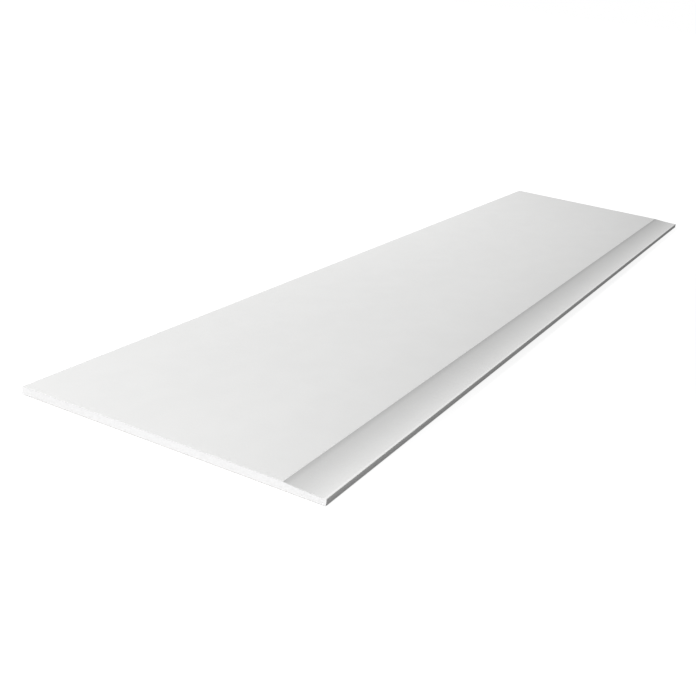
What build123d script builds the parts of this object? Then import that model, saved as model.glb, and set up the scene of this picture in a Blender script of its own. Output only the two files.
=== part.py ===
from build123d import *
import os

# A drywall sheet: a gypsum board faced with paper, made as one piece and cut square at both ends.
# X runs across the width, with the recessed long edge at +X. Y runs along the length. Z points up
# out of the back face. The origin is the middle of the back face. All sizes are in millimetres.

WIDTH = 600.0
LENGTH = 2600.0
THICKNESS = 15.0

# The recess along one long edge takes the joint's tape and filler. It falls away from the face at
# a crease and levels out at the edge, so its section is a shallow hollow arc.
RECESS_WIDTH = 76.0
RECESS_DEPTH = 3.5

# The face paper is folded round the long edges, which eases their four corners.
EDGE_RADIUS = 1.2

# The corners of the cross-section, as (x, z).
half_width = WIDTH / 2
back_left = (-half_width, 0)
back_right = (half_width, 0)
face_left = (-half_width, THICKNESS)
crease = (half_width - RECESS_WIDTH, THICKNESS)
recess_lip = (half_width, THICKNESS - RECESS_DEPTH)


# The whole board is its cross-section, drawn at mid-length and extruded both ways to the cut ends.
with BuildPart() as drywall_sheet:
    with BuildSketch(Plane.XZ):
        with BuildLine():
            TangentArc(recess_lip, crease, tangent=(-1, 0))
            Polyline(crease, face_left, back_left, back_right, recess_lip)
        make_face()
        long_edge_corners = vertices().group_by(Axis.X)[0] + vertices().group_by(Axis.X)[-1]
        fillet(long_edge_corners, radius=EDGE_RADIUS)
    extrude(amount=LENGTH / 2, both=True)

drywall_sheet.part.label = "drywall_sheet"

os.makedirs("parts", exist_ok=True)
export_step(drywall_sheet.part, "parts/drywall_sheet.step")
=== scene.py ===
import math
from itertools import accumulate

import bpy
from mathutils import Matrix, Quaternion, Vector, noise


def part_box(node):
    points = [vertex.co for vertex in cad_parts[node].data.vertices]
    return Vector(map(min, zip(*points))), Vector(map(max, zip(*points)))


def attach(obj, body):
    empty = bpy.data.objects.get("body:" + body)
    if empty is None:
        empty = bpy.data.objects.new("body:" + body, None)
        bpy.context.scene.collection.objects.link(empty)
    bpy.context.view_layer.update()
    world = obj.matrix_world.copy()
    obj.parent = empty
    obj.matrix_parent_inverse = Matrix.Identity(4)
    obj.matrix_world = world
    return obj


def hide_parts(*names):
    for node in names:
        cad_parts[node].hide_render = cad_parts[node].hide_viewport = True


# A drywall sheet lying face up on a pale studio floor. X runs across the sheet, with the recessed
# long edge at +X, Y along it, and Z up out of its back face. Everything is in metres.

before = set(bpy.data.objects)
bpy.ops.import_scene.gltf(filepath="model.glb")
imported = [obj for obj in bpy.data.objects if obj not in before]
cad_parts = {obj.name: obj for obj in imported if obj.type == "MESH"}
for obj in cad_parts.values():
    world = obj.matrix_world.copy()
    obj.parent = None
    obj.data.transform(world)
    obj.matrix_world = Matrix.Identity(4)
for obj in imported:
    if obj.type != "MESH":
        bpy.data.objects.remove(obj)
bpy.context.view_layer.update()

MM = 0.001

# The origin is the middle of the back face, so the last corner of the solid's box gives its size.
HALF_WIDTH, HALF_LENGTH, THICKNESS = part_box("drywall_sheet")[1]

# These repeat the section of the CAD solid.
RECESS_WIDTH = 76 * MM
RECESS_DEPTH = 3.5 * MM
EDGE_RADIUS = 1.2 * MM
CREASE_X = HALF_WIDTH - RECESS_WIDTH

# The face paper is pressed a little deeper in a fine line just past the crease.
LINE_DEPTH = 0.15 * MM
LINE_X = CREASE_X + 1.2 * MM
LINE_END_X = CREASE_X + 12 * MM

# The face paper is folded round both long edges and lies on the back as a margin, where the back
# paper laps over it and so stands a little prouder.
PAPER = 0.3 * MM
BACK_MARGIN = 22 * MM
LAP_STEP = 0.25 * MM
LAP_SLOPE = 0.8 * MM
LAP_X = HALF_WIDTH - BACK_MARGIN

# Mesh spacing. The rings along the length crowd together at the cut ends.
ACROSS_STEP = 1.25 * MM
CREASE_ROUNDING = 0.4 * MM
CORNER_STEPS = 6
CORE_ROWS = 12
LENGTH_STEP = 150 * MM
NEAR_CUT = [d * MM for d in (0, 0.5, 1.2, 2.5, 5, 10, 25, 60)]
SHARP_ANGLE = math.radians(35)

# The cut has pressed each paper in at the end, more in some patches than in others, and the back
# paper less than the face paper.
CRUSH_DEPTH = 0.22 * MM
CRUSH_REACH = 1.1 * MM
CRUSH_UNEVEN = 0.7
CRUSH_PATCH = 18 * MM
BACK_CRUSH = 0.5

# It has torn the gypsum back behind the papers: evenly, in broad hollows, and in a fine grain. The
# sizes are across and up. The grain is a fractal noise, with its falloff, scaling and octaves.
TEAR_DEPTH = 0.12 * MM
HOLLOW_DEPTH = 0.22 * MM
HOLLOW_SIZE = 60 * MM, 20 * MM
GRAIN_DEPTH = 0.12 * MM
GRAIN_SIZE = 4 * MM, 3 * MM
GRAIN_FRACTAL = 0.8, 2.2, 3

# It has opened air bubbles in the gypsum too, equally deep and of mixed sizes up to this radius.
BUBBLE_SPACING = 7 * MM
BUBBLE_RADIUS = 1.5 * MM
BUBBLE_DEPTH = 0.7 * MM

# Where each of these patterns lies in the noise, at the far end. The near end has the negatives.
FACE_SEED = 7.3
BACK_SEED = 4.1
TEAR_SEED = 5.7

# The order of the board's materials.
FACE, BACK, GYPSUM = range(3)

# The texture map is a stack of strips, one for each side, with gaps between them.
STRIP_GAP = 0.006
STRIP_HEIGHTS = {
    "front": 0.430,
    "back": 0.430,
    "left": 0.024,
    "right": 0.024,
    "near": 0.025,
    "far": 0.025,
}

# A step on the mesh's grid each way: to the next column, row or ring.
ACROSS, UP, ALONG = (1, 0, 0), (0, 1, 0), (0, 0, 1)


def recess_z(x):
    """Height of the front face across the recess: an arc that levels out at the edge."""
    radius = (RECESS_WIDTH**2 + RECESS_DEPTH**2) / (2 * RECESS_DEPTH)
    run = HALF_WIDTH - x
    return THICKNESS - RECESS_DEPTH + radius - math.sqrt(radius**2 - run**2)


def corner_drop(x):
    """How far the eased corner of a long edge falls short of the flat, at this x."""
    into = abs(x) - (HALF_WIDTH - EDGE_RADIUS)
    if into <= 0:
        return 0.0
    into = min(into, EDGE_RADIUS)
    return EDGE_RADIUS - math.sqrt(EDGE_RADIUS**2 - into**2)


def pressed_line(x):
    """Depth of the fine line past the crease: a short fall, and a long rise back to nothing."""
    fall = (x - CREASE_X) / (LINE_X - CREASE_X)
    rise = (LINE_END_X - x) / (LINE_END_X - LINE_X)
    return LINE_DEPTH * max(min(fall, rise), 0.0)


def front_z(x):
    flat = recess_z(x) if x > CREASE_X else THICKNESS
    return flat - corner_drop(x) - pressed_line(x)


def back_z(x):
    lap = (abs(x) - LAP_X) / LAP_SLOPE
    return LAP_STEP * min(max(lap, 0.0), 1.0) + corner_drop(x)


def crushed(x, from_end, seed):
    """How far the cut has pressed a paper in, fading within a few millimetres of the end."""
    depth = CRUSH_DEPTH * (1 + CRUSH_UNEVEN * noise.noise(Vector((x / CRUSH_PATCH, seed, 0))))
    return max(depth, 0.0) * math.exp(-from_end / CRUSH_REACH)


def bubble(x, z, seed):
    """Depth of the air bubbles that the cut has opened, scattered over the end."""
    distances, centres = noise.voronoi(Vector((x, z, seed)) / BUBBLE_SPACING)
    from_middle = distances[0] * BUBBLE_SPACING
    radius = BUBBLE_RADIUS * abs(noise.cell(centres[0]))
    if from_middle >= radius:
        return 0.0
    return BUBBLE_DEPTH * math.sqrt(1 - (from_middle / radius) ** 2)


def in_noise(x, z, size, seed):
    """The point in the noise for a place on a cut end, so that its features have this size."""
    return Vector((x / size[0], z / size[1], seed))


def tear(x, z, seed):
    """How deep the broken gypsum of a cut end lies behind the plane of the cut."""
    hollow = 0.5 + 0.5 * noise.noise(in_noise(x, z, HOLLOW_SIZE, seed))
    grain = noise.fractal(in_noise(x, z, GRAIN_SIZE, seed), *GRAIN_FRACTAL)
    rough = TEAR_DEPTH + HOLLOW_DEPTH * hollow + GRAIN_DEPTH * max(grain, -1.0)
    return rough + bubble(x, z, seed)


def spread(start, end, step):
    """Evenly spaced places from start to end, about a step apart, without the last one."""
    count = max(1, round((end - start) / step))
    return [start + (end - start) * k / count for k in range(count)]


def columns():
    """The x of each mesh column, closer together round the corners and at the lap and crease."""
    flat_end = HALF_WIDTH - EDGE_RADIUS
    turns = [math.pi / 2 * k / CORNER_STEPS for k in range(1, CORNER_STEPS + 1)]
    corner = [flat_end + EDGE_RADIUS * math.sin(turn) for turn in turns]
    stops = [-flat_end, -LAP_X - LAP_SLOPE, -LAP_X]
    stops += [CREASE_X - CREASE_ROUNDING, CREASE_X + CREASE_ROUNDING, LINE_X, LINE_X + CREASE_ROUNDING]
    stops += [LAP_X, LAP_X + LAP_SLOPE, flat_end]
    xs = [-x for x in reversed(corner)]
    for start, end in zip(stops, stops[1:]):
        xs += spread(start, end, ACROSS_STEP)
    return xs + [flat_end] + corner


def stations():
    """The y of each mesh ring along the length, closer together at the cut ends."""
    near = [-HALF_LENGTH + d for d in NEAR_CUT]
    far = [HALF_LENGTH - d for d in reversed(NEAR_CUT)]
    return near[:-1] + spread(near[-1], far[0], LENGTH_STEP) + far


def rows(bottom, top):
    """The z of each row up the section, from bottom to top: a paper, the core, and a paper."""
    core_low, core_high = bottom + PAPER, top - PAPER
    core = [core_low + (core_high - core_low) * k / CORE_ROWS for k in range(CORE_ROWS + 1)]
    return [bottom] + core + [top]


def strips():
    """Where the strip of each side starts on the texture map, and its height."""
    places, start = {}, STRIP_GAP
    for side, height in STRIP_HEIGHTS.items():
        places[side] = start, height
        start += height + STRIP_GAP
    return places


def moved(place, *steps):
    """The place on the mesh's grid that these steps lead to."""
    return tuple(map(sum, zip(place, *steps)))


class Skin:
    """The board's closed mesh on a grid: column i across, row r up the section, ring j along."""

    def __init__(self):
        self.xs, self.ys, self.strips = columns(), stations(), strips()
        self.last_column = len(self.xs) - 1
        self.last_row = CORE_ROWS + 2
        self.last_ring = len(self.ys) - 1
        self.verts, self.faces, self.kinds, self.on_map = [], [], [], []
        self.index = {}
        steps = zip(self.xs, self.xs[1:])
        runs = [0.0, *accumulate(math.hypot(b - a, front_z(b) - front_z(a)) for a, b in steps)]
        self.across = [run / runs[-1] for run in runs]

    def point(self, i, r, j):
        x, y = self.xs[i], self.ys[j]
        end = math.copysign(1, y)
        from_end = HALF_LENGTH - abs(y)
        top = front_z(x) - crushed(x, from_end, end * FACE_SEED)
        bottom = back_z(x) + crushed(x, from_end, end * BACK_SEED) * BACK_CRUSH
        z = rows(bottom, top)[r]
        # The gypsum inside the ring of paper is torn back.
        if 1 < r < self.last_row - 1 and abs(x) < HALF_WIDTH - PAPER:
            y -= end * tear(x, z, end * TEAR_SEED)
        return x, y, z

    def place_on_map(self, side, i, r, j):
        """The texture map has a strip for each side, and a side's longer way runs along it."""
        along = (self.ys[j] + HALF_LENGTH) / (2 * HALF_LENGTH)
        up = r / self.last_row
        if side in ("front", "back"):
            u, v = along, self.across[i]
        elif side in ("near", "far"):
            u, v = self.across[i], up
        else:
            u, v = along, up
        start, height = self.strips[side]
        return STRIP_GAP + u * (1 - 2 * STRIP_GAP), start + v * height

    def quad(self, side, kind, corner, first, second):
        """A face that spans both steps from this corner. Their order turns it outwards."""
        opposite = moved(corner, first, second)
        face = []
        for place in (corner, moved(corner, first), opposite, moved(corner, second)):
            if place not in self.index:
                self.index[place] = len(self.verts)
                self.verts.append(self.point(*place))
            face.append(self.index[place])
            self.on_map += self.place_on_map(side, *place)
        self.faces.append(face)
        self.kinds.append(kind)

    def back_kind(self, i):
        """The face paper shows on the back only in the margins, past the lap."""
        middle = abs(self.xs[i] + self.xs[i + 1]) / 2
        return BACK if middle < LAP_X + LAP_SLOPE else FACE

    def end_kind(self, i, r):
        """A cut end shows the papers at the back, the front and both sides, and gypsum between."""
        x, next_x = abs(self.xs[i]), abs(self.xs[i + 1])
        if r == 0 and x < LAP_X:
            return BACK
        if r in (0, self.last_row - 1) or min(x, next_x) > HALF_WIDTH - PAPER:
            return FACE
        return GYPSUM

    def cover_length(self):
        """The faces and the long edges, with the face paper folded round onto the back."""
        for j in range(self.last_ring):
            for i in range(self.last_column):
                self.quad("front", FACE, (i, self.last_row, j), ACROSS, ALONG)
                self.quad("back", self.back_kind(i), (i, 0, j), ALONG, ACROSS)
            for r in range(self.last_row):
                self.quad("left", FACE, (0, r, j), UP, ALONG)
                self.quad("right", FACE, (self.last_column, r, j), ALONG, UP)

    def cover_ends(self):
        for i in range(self.last_column):
            for r in range(self.last_row):
                self.quad("near", self.end_kind(i, r), (i, r, 0), ACROSS, UP)
                self.quad("far", self.end_kind(i, r), (i, r, self.last_ring), UP, ACROSS)


def add_object(name, data):
    thing = bpy.data.objects.new(name, data)
    bpy.context.scene.collection.objects.link(thing)
    return thing


def make_board():
    """The sheet as one closed mesh with three finishes: face paper, back paper and cut gypsum."""
    skin = Skin()
    skin.cover_length()
    skin.cover_ends()
    mesh = bpy.data.meshes.new("board")
    mesh.from_pydata(skin.verts, [], skin.faces)
    mesh.polygons.foreach_set("material_index", skin.kinds)
    # The board's texture map, laid out as a stack of strips.
    mesh.uv_layers.new(name="OFBake").uv.foreach_set("vector", skin.on_map)
    mesh.shade_smooth()
    mesh.set_sharp_from_angle(angle=SHARP_ANGLE)
    for material in (face_paper(), back_paper(), cut_gypsum()):
        mesh.materials.append(material)
    board = add_object("board", mesh)
    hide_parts("drywall_sheet")
    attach(board, "root")


class Nodes:
    """The node tree of a material or a world, emptied and given its output node."""

    def __init__(self, owner, output):
        owner.use_nodes = True
        self.tree = owner.node_tree
        self.tree.nodes.clear()
        self.surface = self.add(output).inputs["Surface"]

    def add(self, kind, **settings):
        node = self.tree.nodes.new(kind)
        for name, value in settings.items():
            setattr(node, name, value)
        return node

    def put(self, socket, value):
        """Sets a socket to a value, or links it to another node's output."""
        if isinstance(value, bpy.types.NodeSocket):
            self.tree.links.new(value, socket)
        else:
            socket.default_value = value

    def shader(self, kind, **inputs):
        """The output of a new shader with these inputs."""
        node = self.add(kind)
        for name, value in inputs.items():
            self.put(node.inputs[name], value)
        return node.outputs[0]

    def math(self, operation, *values):
        node = self.add("ShaderNodeMath", operation=operation)
        for socket, value in zip(node.inputs, values):
            self.put(socket, value)
        return node.outputs[0]

    def ramp(self, value, start, end, at_start=0.0, at_end=1.0, smooth=True):
        """Goes from at_start to at_end as the value goes from start to end, and stays beyond."""
        node = self.add("ShaderNodeMapRange")
        node.interpolation_type = "SMOOTHSTEP" if smooth else "LINEAR"
        self.put(node.inputs["Value"], value)
        node.inputs["From Min"].default_value = start
        self.put(node.inputs["From Max"], end)
        node.inputs["To Min"].default_value = at_start
        node.inputs["To Max"].default_value = at_end
        return node.outputs[0]

    def seen_or_lighting(self, lighting, seen):
        """The surface has one shader for lighting, and one that the camera and reflections see."""
        path = self.add("ShaderNodeLightPath")
        either = path.outputs["Is Camera Ray"]
        for name in ("Is Glossy Ray", "Is Transmission Ray"):
            either = self.math("MAXIMUM", either, path.outputs[name])
        mix = self.add("ShaderNodeMixShader")
        for socket, value in zip(mix.inputs, (either, lighting, seen)):
            self.put(socket, value)
        self.put(self.surface, mix.outputs[0])


# Paper and gypsum have next to no shine.
SPECULAR = 0.08

# Most of a noise lies between these values. A speck starts where a noise tops a level, and has its
# full strength this much above it.
NOISE_LOW, NOISE_HIGH = 0.3, 0.7
SPECK_RIM = 0.08


class Finish(Nodes):
    """A dull material that is painted and roughened by patterns in the board's own space."""

    def __init__(self, name):
        self.material = bpy.data.materials.new(name)
        super().__init__(self.material, "ShaderNodeOutputMaterial")
        self.principled = self.add("ShaderNodeBsdfPrincipled")
        self.principled.inputs["Specular IOR Level"].default_value = SPECULAR
        self.put(self.surface, self.principled.outputs[0])
        self.place = self.add("ShaderNodeTexCoord").outputs["Object"]

    def axis(self, letter):
        node = self.add("ShaderNodeSeparateXYZ")
        self.put(node.inputs[0], self.place)
        return node.outputs[letter]

    def pattern(self, kind, across, along):
        """A texture whose features are about this size, in metres across the board and along it."""
        mapping = self.add("ShaderNodeMapping")
        self.put(mapping.inputs["Vector"], self.place)
        mapping.inputs["Scale"].default_value = (1 / across, 1 / along, 1 / across)
        node = self.add(kind)
        self.put(node.inputs["Vector"], mapping.outputs[0])
        node.inputs["Scale"].default_value = 1.0
        return node

    def noise(self, across, along, detail, rough=0.5):
        node = self.pattern("ShaderNodeTexNoise", across, along)
        node.inputs["Detail"].default_value = detail
        node.inputs["Roughness"].default_value = rough
        return node.outputs["Fac"]

    def pits(self, spacing, largest):
        """0 in the middle of scattered round pits of mixed sizes, and 1 between them."""
        node = self.pattern("ShaderNodeTexVoronoi", spacing, spacing)
        radius = self.math("MULTIPLY", node.outputs["Color"], largest / spacing)
        return self.ramp(node.outputs["Distance"], 0.0, radius)

    def varied(self, pattern, amount):
        """A factor that follows the pattern from a little under 1 to a little over it."""
        return self.ramp(pattern, NOISE_LOW, NOISE_HIGH, 1 - amount, 1 + amount)

    def specks(self, across, along, level, darkening):
        """A factor that is 1, but less in the scattered spots where a fine noise tops a level."""
        fine = self.noise(across, along, detail=1)
        return self.ramp(fine, level, level + SPECK_RIM, 1.0, 1 - darkening)

    def hump(self, value, middle, half_width, height):
        """A smooth rise to this height where the value is at the middle, and 0 beyond its sides."""
        away = self.math("ABSOLUTE", self.math("SUBTRACT", value, middle))
        return self.ramp(away, 0.0, half_width, height, 0.0)

    def blend(self, amount, at_zero, at_one):
        node = self.add("ShaderNodeMix", data_type="FLOAT")
        self.put(node.inputs["Factor"], amount)
        self.put(node.inputs["A"], at_zero)
        self.put(node.inputs["B"], at_one)
        return node.outputs["Result"]

    def paint(self, colour, *factors):
        """The base colour, made lighter or darker by the product of the factors."""
        amount = factors[0]
        for factor in factors[1:]:
            amount = self.math("MULTIPLY", amount, factor)
        node = self.add("ShaderNodeVectorMath", operation="SCALE")
        node.inputs[0].default_value = colour
        self.put(node.inputs["Scale"], amount)
        self.put(self.principled.inputs["Base Color"], node.outputs[0])

    def roughen(self, roughness, height, depth):
        """How dull the surface is, and a relief that stands up by the height times this depth."""
        self.put(self.principled.inputs["Roughness"], roughness)
        node = self.add("ShaderNodeBump")
        node.inputs["Distance"].default_value = depth
        self.put(node.inputs["Height"], height)
        self.put(self.principled.inputs["Normal"], node.outputs[0])

    def fibrous(self, fibres, depth):
        """A paper's fibres stand up by this depth, and are a little duller than what is between."""
        roughness = self.ramp(fibres, start=0.2, end=0.8, at_start=0.90, at_end=0.98)
        self.roughen(roughness, fibres, depth)


FACE_COLOUR = (0.80, 0.80, 0.795)
BACK_COLOUR = (0.50, 0.475, 0.44)
GYPSUM_COLOUR = (0.87, 0.868, 0.87)

# How bright the face paper is painted, as a factor. On the long edges from partway round their
# corners it is partly a greyer paper and partly painted shade. Beside the crease and across the
# recess it is painted shade, grey at the crease and light at the lip, with a darker band of painted
# shade at the crease and a painted highlight in a line beside the lip.
EDGE_SHADE = 0.72
EDGE_SHADE_X = HALF_WIDTH - EDGE_RADIUS / 4
BESIDE_SHADE = 0.968
BESIDE_REACH = 150 * MM
RECESS_SHADE = 0.75
LIP_SHADE = 1.03
CREASE_SHADE = 0.09
CREASE_REACH = 14 * MM
# A painted highlight in a line beside the lip of the recess.
LIP_HIGHLIGHT = 0.10
LIP_HIGHLIGHT_X = HALF_WIDTH - 2.8 * MM
LIP_HIGHLIGHT_REACH = 3.6 * MM


def painted_face_shade(paper):
    """The face paper's painted shade and highlight, which change across the sheet but not along it."""
    x, z = paper.axis("X"), paper.axis("Z")
    across = paper.math("ABSOLUTE", x)
    # The long edges: partly a greyer paper, partly painted shade.
    edge = paper.ramp(across, HALF_WIDTH - EDGE_RADIUS, EDGE_SHADE_X, 1.0, EDGE_SHADE)
    # Painted shade that greys the face towards the crease.
    beside = paper.ramp(x, CREASE_X - BESIDE_REACH, CREASE_X, 1.0, BESIDE_SHADE, smooth=False)
    # Painted shade across the recess, grey at the crease and light at the lip, darker still at the
    # crease.
    recess = paper.ramp(x, CREASE_X, HALF_WIDTH, RECESS_SHADE, LIP_SHADE, smooth=False)
    recess = paper.math("SUBTRACT", recess, paper.hump(x, CREASE_X, CREASE_REACH, CREASE_SHADE))
    # The painted highlight beside the lip.
    recess = paper.math("ADD", recess, paper.hump(x, LIP_HIGHLIGHT_X, LIP_HIGHLIGHT_REACH, LIP_HIGHLIGHT))
    front = paper.blend(paper.math("GREATER_THAN", x, CREASE_X), beside, recess)
    on_front = paper.ramp(z, EDGE_RADIUS, THICKNESS - RECESS_DEPTH - EDGE_RADIUS)
    return paper.math("MULTIPLY", edge, paper.blend(on_front, 1.0, front))


def face_paper():
    paper = Finish("face_paper")
    # Painted shade and highlight across the sheet.
    shade = painted_face_shade(paper)
    fibres = paper.noise(across=0.6 * MM, along=5 * MM, detail=3)
    cloud = paper.noise(across=45 * MM, along=70 * MM, detail=3)
    specks = paper.specks(across=0.9 * MM, along=1.8 * MM, level=0.70, darkening=0.05)
    fibre_shade, cloud_shade = paper.varied(fibres, amount=0.015), paper.varied(cloud, amount=0.007)
    paper.paint(FACE_COLOUR, shade, fibre_shade, cloud_shade, specks)
    paper.fibrous(fibres, depth=0.04 * MM)
    return paper.material


def back_paper():
    paper = Finish("back_paper")
    fibres = paper.noise(across=0.7 * MM, along=4 * MM, detail=4)
    cloud = paper.noise(across=60 * MM, along=110 * MM, detail=3)
    specks = paper.specks(across=1.1 * MM, along=2.2 * MM, level=0.65, darkening=0.22)
    fibre_shade, cloud_shade = paper.varied(fibres, amount=0.05), paper.varied(cloud, amount=0.03)
    paper.paint(BACK_COLOUR, fibre_shade, cloud_shade, specks)
    paper.fibrous(fibres, depth=0.06 * MM)
    return paper.material


# How bright the gypsum's pores are painted, as a factor, which is painted shade in their hollows,
# and their depth as a multiple of the grain's.
PORE_SHADE = 0.82
PORE_DEPTH = 1.5


def cut_gypsum():
    gypsum = Finish("gypsum")
    grain = gypsum.noise(across=1.2 * MM, along=1.2 * MM, detail=5, rough=0.6)
    pores = gypsum.pits(spacing=1.5 * MM, largest=0.9 * MM)
    # The pores are painted darker, as shade in their hollows.
    pore_shade = gypsum.ramp(pores, 0.0, 1.0, PORE_SHADE, 1.0)
    gypsum.paint(GYPSUM_COLOUR, gypsum.varied(grain, amount=0.03), pore_shade)
    height = gypsum.math("ADD", grain, gypsum.math("MULTIPLY", pores, PORE_DEPTH))
    gypsum.roughen(roughness=0.96, height=height, depth=0.25 * MM)
    return gypsum.material


def direction(azimuth, elevation):
    """Unit vector from the middle of the floor, azimuth 0 towards -Y and 90 towards +X."""
    a, e = math.radians(azimuth), math.radians(elevation)
    return Vector((math.sin(a) * math.cos(e), -math.cos(a) * math.cos(e), math.sin(e)))


def facing_back(outward):
    """The turn of a camera or a lamp that looks back along this direction, held level."""
    return (-outward).to_track_quat("-Z", "Y")


# The camera stands off the near end, to the right, and looks along the sheet, rolled a little.
CAMERA_AT = (0.8851, -2.5098, 0.7499)
CAMERA_AZIMUTH = 25.64
CAMERA_DOWN = 20.32
CAMERA_ROLL = 6.99
LENS = 53.19
SENSOR = 36.0
CLIP_NEAR = 0.05
CLIP_FAR = 100.0


def add_camera():
    data = bpy.data.cameras.new("camera")
    data.sensor_width, data.lens = SENSOR, LENS
    data.clip_start, data.clip_end = CLIP_NEAR, CLIP_FAR
    camera = add_object("camera", data)
    camera.location = CAMERA_AT
    camera.rotation_mode = "QUATERNION"
    level = facing_back(direction(CAMERA_AZIMUTH, CAMERA_DOWN))
    camera.rotation_quaternion = level @ Quaternion((0, 0, 1), math.radians(CAMERA_ROLL))
    bpy.context.scene.camera = camera


def add_lamp(name, azimuth, elevation, distance, size, power):
    """A soft rectangular lamp aimed at the middle of the floor."""
    data = bpy.data.lights.new(name, "AREA")
    data.shape = "RECTANGLE"
    data.size, data.size_y = size
    data.energy = power
    lamp = add_object(name, data)
    outward = direction(azimuth, elevation)
    lamp.location = outward * distance
    lamp.rotation_mode = "QUATERNION"
    lamp.rotation_quaternion = facing_back(outward)
    lamp.visible_camera = False


def grey(level):
    return level, level, level, 1.0


def add_world(light):
    """Even light from all round, behind which the camera sees plain white."""
    world = bpy.data.worlds.new("studio")
    nodes = Nodes(world, "ShaderNodeOutputWorld")
    lighting = nodes.shader("ShaderNodeBackground", Color=grey(1.0), Strength=light)
    white = nodes.shader("ShaderNodeBackground", Color=grey(1.0), Strength=1.0)
    nodes.seen_or_lighting(lighting, white)
    bpy.context.scene.world = world


# The floor throws back light as one grey. The camera sees a darker grey that takes the sheet's
# shadow, and a glow on top of it that makes it near white by the sheet and white further out. The
# glow goes out where something lies this close over the floor, as it does under the sheet.
FLOOR_HALF = 30.0
FLOOR_DROP = 0.05 * MM
FLOOR_GREY = 0.45
FLOOR_SEEN_GREY = 0.25
FLOOR_GLOW_NEAR = 0.82
FLOOR_GLOW_FAR = 1.0
GLOW_FROM = 0.6
GLOW_TO = 2.4
CONTACT_REACH = 1.0 * MM
CONTACT_SAMPLES = 4


def floor_finish():
    material = bpy.data.materials.new("floor")
    nodes = Nodes(material, "ShaderNodeOutputMaterial")
    lighting = nodes.shader("ShaderNodeBsdfDiffuse", Color=grey(FLOOR_GREY))
    shadowed = nodes.shader("ShaderNodeBsdfDiffuse", Color=grey(FLOOR_SEEN_GREY))
    from_middle = nodes.add("ShaderNodeVectorMath", operation="LENGTH")
    nodes.put(from_middle.inputs[0], nodes.add("ShaderNodeTexCoord").outputs["Object"])
    distance = from_middle.outputs["Value"]
    strength = nodes.ramp(distance, GLOW_FROM, GLOW_TO, FLOOR_GLOW_NEAR, FLOOR_GLOW_FAR, smooth=False)
    contact = nodes.add("ShaderNodeAmbientOcclusion", samples=CONTACT_SAMPLES)
    contact.inputs["Distance"].default_value = CONTACT_REACH
    glow = nodes.shader("ShaderNodeEmission", Color=contact.outputs["Color"], Strength=strength)
    both = nodes.add("ShaderNodeAddShader")
    nodes.put(both.inputs[0], shadowed)
    nodes.put(both.inputs[1], glow)
    nodes.seen_or_lighting(lighting, both.outputs[0])
    return material


def add_floor():
    """A pale floor that the camera sees as near white, with the sheet's soft shadow on it."""
    corners = [(-1, -1), (1, -1), (1, 1), (-1, 1)]
    verts = [(x * FLOOR_HALF, y * FLOOR_HALF, -FLOOR_DROP) for x, y in corners]
    mesh = bpy.data.meshes.new("floor")
    mesh.from_pydata(verts, [], [(0, 1, 2, 3)])
    mesh.materials.append(floor_finish())
    add_object("floor", mesh)


make_board()
add_camera()
add_world(light=0.34)
add_lamp("key", azimuth=-100, elevation=33, distance=3.8, size=(2.4, 0.8), power=129)
add_lamp("fill", azimuth=2, elevation=18, distance=3.5, size=(2.4, 0.8), power=50)
add_floor()
bpy.context.scene.view_settings.view_transform = "Standard"
